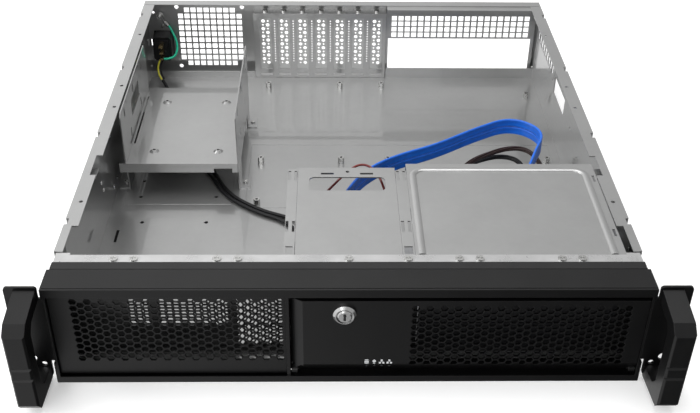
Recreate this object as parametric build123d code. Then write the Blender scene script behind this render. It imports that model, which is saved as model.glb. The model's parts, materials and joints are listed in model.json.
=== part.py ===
from build123d import *
import math
import os

# Two-unit rack enclosure for network storage, lid off. Millimetres, +Z up, +X to the right seen
# from the front. While a piece is drawn, Y is measured backwards from the face of the bezel;
# save() moves it so that the frame's origin is the bottom centre of the whole enclosure.

# Rack standard
PANEL_HEIGHT = 88.0
RACK_WIDTH = 482.6
RACK_SLOT_SPACING = 465.1
RACK_SLOT_RISE = 44.4
RACK_SLOT_LENGTH = 9.6
RACK_SLOT_HEIGHT = 6.8

# Body
BODY_WIDTH = 431.0
BODY_HEIGHT = 86.5
DEPTH = 495.3
SHEET = 1.0
SIDE_FRONT = 46.3
FLANGE = 11.5
SILL_Y = 481.5

# Bezel
BEZEL_DEPTH = 23.3
BEZEL_SHEET = 1.2
TOP_LIP = 7.1
BOTTOM_LIP = 5.5
EAR_NOTCH_LOW = 19.0
EAR_NOTCH_HIGH = 78.6
EAR_NOTCH_DEPTH = 1.8
DIVIDER_LEFT = -46.0
DIVIDER_RIGHT = -43.4
HEX_FLATS = 5.0
HEX_ROWS = 10

# Door
DOOR_LEFT = -42.8
DOOR_FACE_LEFT = -33.8
DOOR_RIGHT = 212.0
DOOR_TOP = 77.8
DOOR_FACE_BOTTOM = 18.3
DOOR_BOTTOM = 7.4
DOOR_SHEET = 2.0
HINGE_Y = 4.5
HINGE_Z = 8.7
PIN_RADIUS = 1.1
LOCK_X = -4.1
LOCK_Z = 66.4
CAM_REACH = 15.4

# Ears and handles
EAR_FRONT = 2.9
EAR_SHEET = 2.0
EAR_INNER = 218.2
EAR_BOTTOM = 4.2
HANDLE_INNER = 219.0
HANDLE_OUTER = 234.4
HANDLE_REACH = 35.5

# Rear
FAN_X = -146.5
FAN_Z = 43.8
FAN_HOLES = 71.5
FAN_CELL = 7.15
INLET_X = -199.0
INLET_Z = 37.0
SLOT_PITCH = 20.32
SLOT_COUNT = 7
SLOT_FIRST_X = -84.9
SLOT_LEFT = -97.8
SLOT_RIGHT = 47.4
SHELF_Z = 78.4
IO_WALL_Y = 488.0
IO_X = 129.8
IO_WIDTH = 158.75
IO_HEIGHT = 44.45
IO_BOTTOM = 2.0
IO_CELL = 7.32
IO_ROW = 6.54
IO_VENT = 5.5

# Fine mesh fields in the front sheet: first column, columns, lowest row, rows
MESH_PITCH = 5.955
MESH_FLATS = 4.6
MESH_FIELDS = ((-162, 3, 28, 5), (-139, 10, 28, 5), (-82, 8, 28, 5), (-82, 8, 9, 3))

# Main-board posts
BOARD_X = -82.0
BOARD_Y = 456.5
BOARD_STEP = 78.74
BOARD_ROW = 154.94

# Disk cage, rear left
CAGE_LEFT = -202.0
CAGE_RIGHT = -100.0
CAGE_FRONT = 250.0
CAGE_BACK = 397.0
CAGE_Z = 32.0
CAGE_TOP = 84.5

# Supply bay, front centre, and drive bay, front right
BAY_FRONT = 42.6
MID_LEFT = -40.6
MID_RIGHT = 39.0
MID_BACK = 160.0
BAY_LEFT = 48.2
BAY_RIGHT = 203.2
BAY_BACK = 166.0
BAY_Z = 86.0
BEAD_WIDTH = 5.6
BEAD_RISE = 1.4
BEAD_RADIUS = 9.5

INLET_FLANGE = 3.2
GROOVE_DEPTH = 0.3
ORIGIN_Y = (DEPTH + INLET_FLANGE - HANDLE_REACH) / 2
HALF = BODY_WIDTH / 2


FLOOR_SCREW_SPOTS = [(x, y) for x in (CAGE_LEFT - 5.5, CAGE_RIGHT + 5.5) for y in (CAGE_FRONT + 15,
        CAGE_BACK - 19)]
FLOOR_SCREW_SPOTS += [(x, y) for x in (MID_LEFT - 4.6, MID_RIGHT + 4.6, BAY_RIGHT + 4.5) for y in (60, 96)]
FLANGE_SCREW_XS = (-170.8, -156.3, -96.2, -81.1, -0.7, 42.5, 79.6, 94.6, 154.6, 169.5)
FLANGE_SCREW_Y = 37.2
EAR_SCREW_Y = 38
EAR_SCREW_ZS = (30, 68)


def slab(x0, x1, y0, y1, z0, z1):
    """A block between two corners."""
    middle = ((x0 + x1) / 2, (y0 + y1) / 2, (z0 + z1) / 2)
    return Pos(*middle) * Box(abs(x1 - x0), abs(y1 - y0), abs(z1 - z0))


def rod(x, y, z, radius, length, axis="Y"):
    """A round bar that starts at a point and runs along an axis."""
    direction = {"X": (1, 0, 0), "Y": (0, 1, 0), "Z": (0, 0, 1)}[axis]
    return Solid.make_cylinder(radius, length, Plane((x, y, z), z_dir=direction))


def groove(x0, x1, y0, y1, width):
    """Four shallow cuts in the floor's upper face that outline a pressed or welded area."""
    low, high = SHEET - GROOVE_DEPTH, SHEET + 0.5
    sides = [slab(x, x + width, y0, y1 + width, low, high) for x in (x0, x1)]
    return sides + [slab(x0, x1 + width, y, y + width, low, high) for y in (y0, y1)]


def floor_holes():
    """Clearance holes for the screws that go through the feet into the floor."""
    return [rod(x, y, -1, 1.25, 4, "Z") for x, y in FLOOR_SCREW_SPOTS]


def joined(pieces):
    """One solid from several that touch or overlap."""
    result = pieces[0].fuse(*pieces[1:])
    return result.clean()


def cut(body, tools):
    """A body with several openings made in it."""
    return body.cut(*tools)


def upright(points, y):
    """A closed outline on a plane that faces the front."""
    return Wire.make_polygon([(x, y, z) for x, z in points], close=True)


def square(x, z, side):
    h = side / 2
    return [(x - h, z - h), (x + h, z - h), (x + h, z + h), (x - h, z + h)]


def rectangle(x0, x1, z0, z1):
    return [(x0, z0), (x1, z0), (x1, z1), (x0, z1)]


def hexagon(x, z, flats):
    r = flats / math.sqrt(3)
    return [(x + r * math.cos(k * math.pi / 3), z + r * math.sin(k * math.pi / 3)) for k in range(6)]


def ring(x, y, z, radius):
    return Wire.make_circle(radius, Plane((x, y, z), x_dir=(1, 0, 0), z_dir=(0, -1, 0)))


def plate(outline, holes, y, thickness):
    """A sheet that stands across the enclosure, with openings, running back from y."""
    face = Face(upright(outline, y), holes)
    return extrude(face, amount=thickness, dir=(0, 1, 0)).solid()


def hex_field(x0, z0, columns, pitch, y):
    """Six-sided holes in columns, every second column half a pitch lower."""
    holes = []
    for i in range(columns):
        drop = pitch / 2 if i % 2 else 0
        for j in range(HEX_ROWS - i % 2):
            x = x0 + i * pitch * math.sqrt(3) / 2
            holes.append(upright(hexagon(x, z0 - drop - j * pitch, HEX_FLATS), y))
    return holes


def profile(points, x0, x1):
    """A solid with a side outline, given as depth and height, between two widths."""
    face = Face(Wire.make_polygon([(x0, y, z) for y, z in points], close=True))
    return extrude(face, amount=x1 - x0, dir=(1, 0, 0)).solid()


def bend_radii(points, share=0.45):
    """The radius of each corner, from its shorter run and its turn."""
    radii = []
    for a, b, c in zip(points, points[1:], points[2:]):
        u = Vector(*b) - Vector(*a)
        v = Vector(*c) - Vector(*b)
        half_turn = math.radians(u.get_angle(v)) / 2
        radii.append(share * min(u.length, v.length) / math.tan(half_turn))
    return radii


# ---------------------------------------------------------------- chassis

def chassis_base():
    """Floor and both side walls, bent from one sheet, with rolled top flanges and a rear sill."""
    pieces = [slab(-HALF, HALF, 24.0, DEPTH - SHEET, 0, SHEET)]
    for s in (-1, 1):
        inner = s * (HALF - SHEET)
        pieces.append(slab(s * HALF, inner, SIDE_FRONT, DEPTH - SHEET, 0, BODY_HEIGHT))
        edge = s * (HALF - FLANGE)
        pieces.append(slab(s * HALF, edge, 78, 148, BODY_HEIGHT - SHEET, BODY_HEIGHT))
        pieces.append(slab(s * HALF, edge, 178, 484, BODY_HEIGHT - SHEET, BODY_HEIGHT))
        pieces.append(slab(s * HALF, s * (HALF - 6.5), SIDE_FRONT, 484, BODY_HEIGHT - SHEET, BODY_HEIGHT))
        pieces.append(slab(inner, s * (HALF - 9), 155, 170, BODY_HEIGHT - 9, BODY_HEIGHT - 8))
    pieces.append(slab(-HALF + SHEET, SLOT_LEFT - 1, SILL_Y - SHEET, SILL_Y, 0, 8))
    pieces.append(slab(48.5, HALF - SHEET, SILL_Y - SHEET, SILL_Y, 0, 12.9))
    body = joined(pieces)
    tools = []
    for s in (-1, 1):
        for y in (84, 212, 336, 458):
            tools.append(slab(s * (HALF + 1), s * (HALF - 2.6), y - 4, y + 4, BODY_HEIGHT - 5,
                    BODY_HEIGHT + 1))
        for y in (110, 260, 300, 410):
            tools.append(rod(s * (HALF - 7), y, BODY_HEIGHT - 3, 1.6, 5, "Z"))
    # Openings in the right wall: a window for a handle lock, and louvre slots near the back
    tools.append(slab(HALF - 4, HALF + 4, 322, 372, 42, 60))
    for k in range(9):
        y = 386 + k * 10
        tools.append(slab(HALF - 4, HALF + 4, y, y + 6.2, 54, 77))
    for y, z in ((289, 48), (245, 65), (382, 50)):
        tools.append(rod(HALF - 4, y, z, 1.7, 8, "X"))
    for x, y in ((-190.7, 241.5), (-120.6, 241.5), (-183.6, 200.6), (-126.0, 200.6), (-191.5, 268)):
        tools.append(rod(x, y, -1, 1.8, 4, "Z"))
    for x, y in ((-203, 180), (150, 210), (60, 215)):
        tools.append(slab(x - 1.2, x + 1.2, y - 9, y + 9, -1, 3))
    tools += groove(-205.0, -106.0, 227.4, 300.0, 2.0) + groove(-93.0, 206.0, 223.0, 334.0, 0.7)
    return cut(body, tools + floor_holes())


def rear_panel():
    """The outer back sheet with the fan grille and the openings for the mains inlet, slots and ports."""
    y = DEPTH - SHEET
    holes = []
    for i in range(10):
        for j in range(10):
            if i in (0, 9) and j in (0, 9):
                continue
            x = FAN_X + (i - 4.5) * FAN_CELL
            z = FAN_Z + (j - 4.5) * FAN_CELL
            holes.append(upright(square(x, z, 5.6), y))
    for i in (-0.5, 0.5):
        for j in (-0.5, 0.5):
            holes.append(ring(FAN_X + i * FAN_HOLES, y, FAN_Z + j * FAN_HOLES, 2.3))
    holes.append(upright(rectangle(INLET_X - 10.6, INLET_X + 10.6, INLET_Z - 14.4, INLET_Z + 14.4), y))
    for z in (INLET_Z - 20, INLET_Z + 20):
        holes.append(ring(INLET_X, y, z, 1.8))
    holes.append(upright(rectangle(-213.4, -211.8, INLET_Z - 4, INLET_Z + 4), y))
    holes.append(ring(INLET_X - 1.7, y, 70.5, 2.1))
    holes.append(ring(-208.3, y, 73, 1.6))
    holes.append(upright(rectangle(SLOT_LEFT + 1.2, SLOT_RIGHT - 1.2, 2, SHELF_Z - 1), y))
    holes.append(upright(rectangle(49.6, 211.4, 1.6, 77.5), y))
    wall = plate(rectangle(-HALF, HALF, 0, BODY_HEIGHT), holes, y, SHEET)
    inner = HALF - SHEET
    top = slab(-inner, inner, DEPTH - 10.5, DEPTH - SHEET, BODY_HEIGHT - SHEET, BODY_HEIGHT)
    return joined([wall, top])


def slot_plate():
    """The inset expansion-slot wall: seven openings, a screw shelf and small vents between slots."""
    y = SILL_Y - SHEET
    holes = []
    for k in range(SLOT_COUNT):
        x = SLOT_FIRST_X + k * SLOT_PITCH
        holes.append(upright(rectangle(x - 6.2, x + 6.2, 11.5, 73), y))
        holes.append(upright(rectangle(x - 6.6, x + 6.6, 4.2, 6.2), y))
    for k in range(SLOT_COUNT - 1):
        x = SLOT_FIRST_X + (k + 0.5) * SLOT_PITCH
        for j in range(17):
            holes.append(ring(x, y, 21.5 + j * 3.0, 0.8))
    wall = plate(rectangle(SLOT_LEFT, SLOT_RIGHT, 1.2, SHELF_Z), holes, y, SHEET)
    shelf = slab(SLOT_LEFT, SLOT_RIGHT, y, DEPTH - 1.2, SHELF_Z - SHEET, SHELF_Z)
    lip = slab(SLOT_LEFT, SLOT_RIGHT, DEPTH - 2.2, DEPTH - 1.2, SHELF_Z - SHEET, BODY_HEIGHT - 1.2)
    left = slab(SLOT_LEFT, SLOT_LEFT + SHEET, y, DEPTH - 1.2, 1.2, SHELF_Z)
    right = slab(SLOT_RIGHT - SHEET, SLOT_RIGHT, y, DEPTH - 1.2, 1.2, SHELF_Z)
    tools = []
    for k in range(SLOT_COUNT):
        tools.append(rod(SLOT_FIRST_X + k * SLOT_PITCH, SILL_Y + 5, SHELF_Z - 3, 1.6, 6, "Z"))
    return cut(joined([wall, shelf, lip, left, right]), tools)


def slot_covers():
    """Seven vented blanking brackets that hang from the screw shelf, each behind its slot."""
    group = []
    y = SILL_Y + 0.2
    for k in range(SLOT_COUNT):
        x = SLOT_FIRST_X + k * SLOT_PITCH
        holes = []
        for j in range(12):
            z = 69.0 - j * 4.55
            side = 1 if j % 2 else -1
            holes.append(ring(x + side * 2.45, y, z, 2.0))
            holes.append(ring(x - side * 2.75, y, z, 1.05))
        blade = plate(rectangle(x - 9.2, x + 9.2, 9, SHELF_Z - 1.2), holes, y, 0.9)
        tab = slab(x - 9.2, x + 9.2, y, y + 9.5, SHELF_Z - 2.1, SHELF_Z - 1.2)
        group.append(joined([blade, tab]).cut(rod(x, SILL_Y + 5, SHELF_Z - 4, 1.7, 4, "Z")))
    return group


def slot_cover_screws():
    """Screws that pass through the shelf and hold the seven brackets."""
    group = []
    for k in range(SLOT_COUNT):
        x = SLOT_FIRST_X + k * SLOT_PITCH
        head = rod(x, SILL_Y + 5, SHELF_Z + 0.05, 2.7, 1.9, "Z")
        shank = rod(x, SILL_Y + 5, SHELF_Z - 4, 1.5, 4.5, "Z")
        slot = slab(x - 3, x + 3, SILL_Y + 4.6, SILL_Y + 5.4, SHELF_Z + 1.2, SHELF_Z + 3)
        group.append(joined([head, shank]).cut(slot))
    return group


def io_panel():
    """The set-in port wall: the port opening below a grid of square vents, with a top flange."""
    y = IO_WALL_Y - SHEET
    x0, x1, top_z = 48.0, 212.6, 85.4
    holes = [upright(rectangle(IO_X - IO_WIDTH / 2, IO_X + IO_WIDTH / 2, IO_BOTTOM, IO_BOTTOM + IO_HEIGHT),
            y)]
    for i in range(21):
        for j in range(4):
            holes.append(upright(square(IO_X + (i - 10) * IO_CELL, 50.8 + j * IO_ROW, IO_VENT), y))
    wall = plate(rectangle(x0, x1, 1.2, top_z), holes, y, SHEET)
    top = slab(x0, x1, IO_WALL_Y - 13, IO_WALL_Y, top_z - SHEET, top_z)
    front = slab(x0, x1, IO_WALL_Y - 13, IO_WALL_Y - 12, top_z - 3.4, top_z)
    left = slab(x0, x0 + SHEET, y, DEPTH - 1.2, 1.2, 79)
    right = slab(x1 - SHEET, x1, y, DEPTH - 1.2, 1.2, 79)
    return joined([wall, top, front, left, right])


def inlet_body():
    """The three-pin mains inlet: a flange outside the back sheet and a deep body inside it."""
    flange = slab(INLET_X - 12, INLET_X + 12, DEPTH + 0.05, DEPTH + INLET_FLANGE, INLET_Z - 25, INLET_Z + 25)
    body = slab(INLET_X - 10, INLET_X + 10, DEPTH - 18, DEPTH + 0.1, INLET_Z - 13.8, INLET_Z + 13.8)
    neck = slab(INLET_X - 7, INLET_X + 7, DEPTH - 21, DEPTH - 18, INLET_Z - 11, INLET_Z + 11)
    whole = chamfer(body.edges().filter_by(Axis.Y), 2.5)
    socket = slab(INLET_X - 8, INLET_X + 8, DEPTH - 13, DEPTH + 5, INLET_Z - 11.8, INLET_Z + 11.8)
    tools = [socket]
    for z in (INLET_Z - 20, INLET_Z + 20):
        tools.append(rod(INLET_X, DEPTH - 1, z, 1.5, 6))
        tools.append(Solid.make_cone(1.5, 3.0, 1.75, Plane((INLET_X, DEPTH + INLET_FLANGE - 1.7, z),
                z_dir=(0, 1, 0))))
    for z in (-7, 0, 7):
        tools.append(slab(INLET_X - 2.2, INLET_X + 2.2, DEPTH - 22, DEPTH - 12, INLET_Z + z - 1.2,
                INLET_Z + z + 1.2))
    return cut(joined([whole.solid(), neck, flange]), tools)


def inlet_pins():
    """Three flat contact blades, each with a solder tag inside the enclosure."""
    group = []
    for z, forward in ((-7, 0), (0, 1.5), (7, 0)):
        blade = slab(INLET_X - 2, INLET_X + 2, DEPTH - 29, DEPTH - 3 + forward, INLET_Z + z - 1,
                INLET_Z + z + 1)
        group.append(blade)
    return group


def screw(x, y, z, head, shank, length, toward=-1, axis="Y", rise=1.8):
    """A pan-head screw with a cross recess. Its head stands out of the face at the point given."""
    at = {"X": Vector(1, 0, 0), "Y": Vector(0, 1, 0), "Z": Vector(0, 0, 1)}[axis] * toward
    start = Vector(x, y, z)
    cap = Solid.make_cylinder(head, rise, Plane(start, z_dir=at))
    body = Solid.make_cylinder(shank, length + 0.1, Plane(start + at * 0.1, z_dir=at * -1))
    top = Plane(start + at * (rise - 0.7), z_dir=at)
    cross = [extrude(top * Rectangle(head * 1.2, 0.7), 2).solid(), extrude(top * Rectangle(0.7,
            head * 1.2), 2).solid()]
    return cap.fuse(body).clean().cut(*cross)


def inlet_screws():
    """Two countersunk screws, flush in the inlet's flange."""
    group = []
    for z in (INLET_Z - 20, INLET_Z + 20):
        head = Solid.make_cone(1.4, 2.9, 1.7, Plane((INLET_X, DEPTH + INLET_FLANGE - 1.7, z), z_dir=(0, 1,
                0)))
        shank = rod(INLET_X, DEPTH - 4, z, 1.4, 6)
        group.append(joined([head, shank]).cut(slab(INLET_X - 2, INLET_X + 2, DEPTH + 2.4, DEPTH + 4,
                z - 0.35, z + 0.35)))
    return group


def ground_stud():
    """The earth screw on the back wall with its ring terminal and nut."""
    x = INLET_X - 1.7
    stud = rod(x, DEPTH - 12, 70.5, 1.8, 14)
    nut = extrude(Plane((x, DEPTH - 4.6, 70.5), z_dir=(0, -1, 0)) * RegularPolygon(3.9, 6), 3).solid()
    return joined([stud, nut])


def ground_terminal():
    """The crimped ring that the earth wire ends in."""
    x = INLET_X - 1.7
    eye = rod(x, DEPTH - 4.4, 70.5, 4.2, 0.9).cut(rod(x, DEPTH - 6, 70.5, 2.0, 4))
    tail = slab(x + 3.6, x + 8.2, DEPTH - 4.4, DEPTH - 3.5, 68.2, 71)
    crimp = rod(x + 7.4, DEPTH - 4.2, 69.6, 1.9, 6.4, "X")
    lug = joined([eye, tail, crimp])
    return lug.rotate(Axis((x, 0, 70.5), (0, 1, 0)), 52)


# ---------------------------------------------------------------- disk cage

def cage_tray():
    """The raised deck that the disks stand on, with a turned-down front lip and back edge."""
    deck = slab(CAGE_LEFT, CAGE_RIGHT, CAGE_FRONT, CAGE_BACK, CAGE_Z - SHEET, CAGE_Z)
    lip = slab(CAGE_LEFT - 7, CAGE_RIGHT, CAGE_FRONT, CAGE_FRONT + SHEET, CAGE_Z - 9.5, CAGE_Z)
    back = slab(CAGE_LEFT, CAGE_RIGHT, CAGE_BACK - SHEET, CAGE_BACK, CAGE_Z - 8, CAGE_Z)
    tools = [
        slab(CAGE_RIGHT - 22, CAGE_RIGHT - 5, CAGE_FRONT - 2, CAGE_FRONT + 3, CAGE_Z - 12, CAGE_Z - 5.2),
        slab(CAGE_LEFT + 1, CAGE_LEFT + 2.6, 286, 378, CAGE_Z - 4, CAGE_Z + 1),
    ]
    pieces = [deck, lip, back]
    for x in (-179.5, -119.5):
        for y in (272, 366):
            pieces.append(Pos(x, y, CAGE_Z - 0.6) * Cone(5.2, 2.2, 2.6, align=(Align.CENTER, Align.CENTER,
                    Align.MIN)))
            tools.append(rod(x, y, CAGE_Z - 5, 1.4, 9, "Z"))
    return cut(joined(pieces), tools)


def cage_bracket(inner, side):
    """An upright side of the disk cage, standing on the floor, with slots for the disk screws."""
    x0, x1 = (inner - SHEET, inner) if side < 0 else (inner, inner + SHEET)
    foot_x = x0 - 9 if side < 0 else x1 + 9
    outline = [(CAGE_FRONT + 4, 1.0), (CAGE_FRONT + 26, 1.0), (CAGE_FRONT + 30, 20), (CAGE_BACK - 34, 20)]
    outline += [(CAGE_BACK - 30, 1.0), (CAGE_BACK - 8, 1.0), (CAGE_BACK - 4, 20), (CAGE_BACK - 4,
            CAGE_TOP - 3)]
    outline += [(CAGE_BACK - 8, CAGE_TOP), (CAGE_FRONT + 3, CAGE_TOP), (CAGE_FRONT - 1, CAGE_TOP - 4)]
    outline += [(CAGE_FRONT - 1, CAGE_Z + 0.3), (CAGE_FRONT + 1.3, CAGE_Z + 0.3), (CAGE_FRONT + 1.3,
            CAGE_Z - 10)]
    wall = profile(outline, x0, x1)
    feet = [slab(x0 if side < 0 else x1, foot_x, y, y + 20, 1.0, 2.0) for y in (CAGE_FRONT + 5,
            CAGE_BACK - 29)]
    tools = []
    for y, z in ((268, 76), (288, 44), (315, 76), (347, 44), (362, 76)):
        tools.append(slab(x0 - 1, x1 + 1, y - 1.9, y + 1.9, z - 4.5, z + 4.5))
    if side < 0:
        tools.append(slab(x0 - 1, x1 + 1, 300, 343, 54, 70))
    return cut(joined([wall] + feet), tools + floor_holes())


# ---------------------------------------------------------------- front bays

def front_wall():
    """The bare front sheet behind the bezel: vented on the left, open to the bays on the right."""
    y = 33.7
    holes = []
    for x0, columns, z0, rows in MESH_FIELDS:
        for i in range(columns):
            for j in range(rows):
                z = z0 + j * MESH_PITCH + (MESH_PITCH / 2 if i % 2 else 0)
                holes.append(upright(hexagon(x0 + i * MESH_PITCH * 0.866, z, MESH_FLATS), y))
    holes.append(upright(rectangle(-36, 35, 8, 76), y))
    holes.append(upright(rectangle(51, 200, 6, 78), y))
    wall = plate(rectangle(-212.6, 212.6, 1.05, 85.5), holes, y, SHEET)
    pieces = [wall, slab(-209.0, 209.0, y, 42.2, 85.5, BODY_HEIGHT)]
    for s in (-1, 1):
        pieces.append(slab(s * 213.8, s * 212.6, y, 66, 8, 82))
        pieces.append(slab(s * 213.8, s * 203.5, y, 45.8, 84.3, 85.5))
        pieces.append(slab(s * 213.8, s * 212.6, y, 45.8, 80, 85.5))
    tools = [rod(x, FLANGE_SCREW_Y, 84, 1.25, 4, "Z") for x in FLANGE_SCREW_XS]
    for s in (-1, 1):
        for z in EAR_SCREW_ZS:
            tools.append(rod(s * 213.2 - 2, EAR_SCREW_Y, z, 1.35, 4, "X"))
    return cut(joined(pieces), tools)


def wall_frame():
    """The painted frame that carries the bezel in front of the bare front sheet."""
    y0, y1 = 24.6, 32.6
    outer, t = 213.8, 1.2
    pieces = [
        slab(-outer, outer, y0, y1, 86.2, 87.4),
        slab(-outer, outer, y1 - t, y1, 80, 86.3),
        slab(-outer, outer, y1 - t, y1, 1.1, 6),
    ]
    for s in (-1, 1):
        pieces.append(slab(s * outer, s * (outer - t), y0, y1, 1.1, 87.3))
    return joined(pieces)


def flange_screws():
    """Ten low screws along the front top flange."""
    return [screw(x, FLANGE_SCREW_Y, BODY_HEIGHT + 0.02, 3.2, 1.2, 0.9, 1, "Z",
            1.0).solid() for x in FLANGE_SCREW_XS]


def mid_cover():
    """The lid of the supply bay, with a long window and two key slots at its back edge."""
    deck = slab(MID_LEFT + 0.3, MID_RIGHT - 0.3, BAY_FRONT, MID_BACK, BAY_Z - 1, BAY_Z)
    lip = slab(MID_LEFT + 0.3, MID_RIGHT - 0.3, MID_BACK - 1, MID_BACK, BAY_Z - 9, BAY_Z)
    window = slab(-31.2, 30.2, 126.5, 146, BAY_Z - 3, BAY_Z + 3)
    tools = [fillet(window.edges().filter_by(Axis.Z), 4.5).solid()]
    for x in (-16.5, 15.5):
        tools.append(slab(x - 5.2, x + 5.2, 149.8, 152.4, BAY_Z - 3, BAY_Z + 3))
    tools.append(rod(0, 154, BAY_Z - 3, 1.5, 6, "Z"))
    return cut(joined([deck, lip]), tools)


def bay_bracket(x0, x1, back, drop):
    """A channel that stands between two bays: a top strip with an upright web and a floor foot."""
    web_x = x0 if drop < 0 else x1 - SHEET
    strip = slab(x0, x1, BAY_FRONT, back, BAY_Z - 1, BAY_Z)
    web = slab(web_x, web_x + SHEET, BAY_FRONT, back, 1.0, BAY_Z)
    nose = slab(web_x, web_x + SHEET, 34.8, BAY_FRONT, 10.0, 76.0)
    foot = slab(x0, x1, BAY_FRONT + 4, back - 4, 1.0, 2.0)
    xc = (x0 + x1) / 2
    tools = []
    for y in (78, 148):
        for dx in (-2.5, 2.5):
            tools.append(slab(xc + dx - 1.1, xc + dx + 1.1, y - 7, y + 7, BAY_Z - 3, BAY_Z + 2))
    tools.append(slab(x0 + 1.3, x1 - 1.3, 43.8, 53, BAY_Z - 3, BAY_Z + 2))
    for y in (62, 92, 122):
        for z in (36, 58):
            tools.append(slab(web_x - 1, web_x + 2, y - 6, y + 6, z - 1.9, z + 1.9))
    return cut(joined([strip, web, nose, foot]), tools + floor_holes())


def bay_cover():
    """The lid of the drive bay, stiffened by a pressed bead in the shape of a gate."""
    deck = slab(BAY_LEFT, BAY_RIGHT, BAY_FRONT, BAY_BACK, BAY_Z - 1, BAY_Z)
    lip = slab(BAY_LEFT, BAY_RIGHT, BAY_BACK - 1, BAY_BACK, BAY_Z - 10, BAY_Z)
    left, right, front, back, level = BAY_LEFT + 4.8, BAY_RIGHT - 8.4, BAY_FRONT + 0.3, BAY_BACK - 9.0, BAY_Z - 0.02
    corners = [(left, front, level), (left, back, level), (right, back, level), (right, front, level)]
    path = FilletPolyline(*corners, radius=BEAD_RADIUS)
    section = Plane(origin=path @ 0, x_dir=(1, 0, 0), z_dir=path % 0) * Ellipse(BEAD_WIDTH / 2, BEAD_RISE)
    bead = sweep(section, path=path)
    tools = []
    for y in (70, 144):
        tools.append(slab(BAY_RIGHT - 3.6, BAY_RIGHT - 1.6, y - 4.5, y + 4.5, BAY_Z - 3, BAY_Z + 3))
    return cut(joined([deck, lip, bead.solid()]), tools)


def bay_side():
    """The right side of the drive bay, standing on the floor clear of the outer wall."""
    web = slab(BAY_RIGHT + 0.3, BAY_RIGHT + 1.3, 34.8, BAY_BACK, 1.0, 84.0)
    foot = slab(BAY_RIGHT + 0.3, BAY_RIGHT + 7.5, BAY_FRONT + 4, BAY_BACK - 4, 1.0, 2.0)
    tools = []
    for y in (62, 92, 122, 148):
        for z in (22, 46, 66):
            tools.append(slab(BAY_RIGHT - 1, BAY_RIGHT + 3, y - 6, y + 6, z - 1.9, z + 1.9))
    return cut(joined([web, foot]), tools + floor_holes())


# ---------------------------------------------------------------- bezel

def bezel_frame():
    """The black front frame: top and bottom lips, notched ends and the rib that carries the door."""
    t = BEZEL_SHEET
    pieces = [
        slab(-HALF, HALF, 0, BEZEL_DEPTH, PANEL_HEIGHT - t, PANEL_HEIGHT),
        slab(-HALF, HALF, 0, t, PANEL_HEIGHT - TOP_LIP, PANEL_HEIGHT),
        slab(-HALF, HALF, 0, BEZEL_DEPTH, 0, t),
        slab(-HALF, HALF, 0, t, 0, BOTTOM_LIP),
        slab(DIVIDER_LEFT, DIVIDER_RIGHT, 1.0, BEZEL_DEPTH, 0.5, PANEL_HEIGHT - 0.5),
    ]
    for s in (-1, 1):
        notch_x = s * (HALF - EAR_NOTCH_DEPTH)
        pieces.append(slab(s * HALF, s * (HALF - 3), 0, BEZEL_DEPTH, 0, EAR_NOTCH_LOW))
        pieces.append(slab(s * HALF, s * (HALF - 3), 0, BEZEL_DEPTH, EAR_NOTCH_HIGH, PANEL_HEIGHT))
        pieces.append(slab(notch_x, s * (HALF - 3), 0, BEZEL_DEPTH, EAR_NOTCH_LOW - 1, EAR_NOTCH_HIGH + 1))
    pieces.append(slab(LOCK_X - 14, LOCK_X + 14, 9.6, 10.9, 79.0, PANEL_HEIGHT - 0.6))
    body = joined(pieces)
    tools = [rod(DIVIDER_LEFT - 1, HINGE_Y, HINGE_Z, PIN_RADIUS, 6, "X"), rod(212.0, HINGE_Y, HINGE_Z,
            PIN_RADIUS, 2.6, "X")]
    tools.append(slab(-HALF - 1, HALF + 1, 1.4, 2.3, PANEL_HEIGHT - 0.5, PANEL_HEIGHT + 1))
    return cut(body, tools)


def vent_panel():
    """The fixed honeycomb panel on the left, turned in at its lower edge."""
    x0, x1 = -(HALF - 3) + 0.1, DIVIDER_LEFT - 0.1
    front = 3.0
    pitch = 5.955
    columns = 29
    holes = hex_field(-194.9, 75.0, columns, pitch, front)
    flat = plate(rectangle(x0, x1, 6.2, PANEL_HEIGHT - 1.3), holes, front, 1.2)
    shelf = slab(x0, x1, front, 10.4, 6.2, 7.4)
    foot = slab(x0, x1, 9.2, 10.4, 1.3, 7.4)
    return joined([flat, shelf, foot])


def bay_blanks():
    """Two plastic blanks, one above the other, that close the drive bay behind the door."""
    blanks = []
    for z0, z1 in ((6.5, 30.6), (31.4, 77.5)):
        face = slab(51.5, 199.5, 30.5, 32.5, z0, z1)
        inside = slab(54.5, 196.5, 32.4, 44.5, z0 + 3, z1 - 3).cut(slab(56, 195, 32.4, 50, z0 + 4.5,
                z1 - 4.5))
        blanks.append(joined([face, inside]))
    return blanks


# ---------------------------------------------------------------- door

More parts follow.
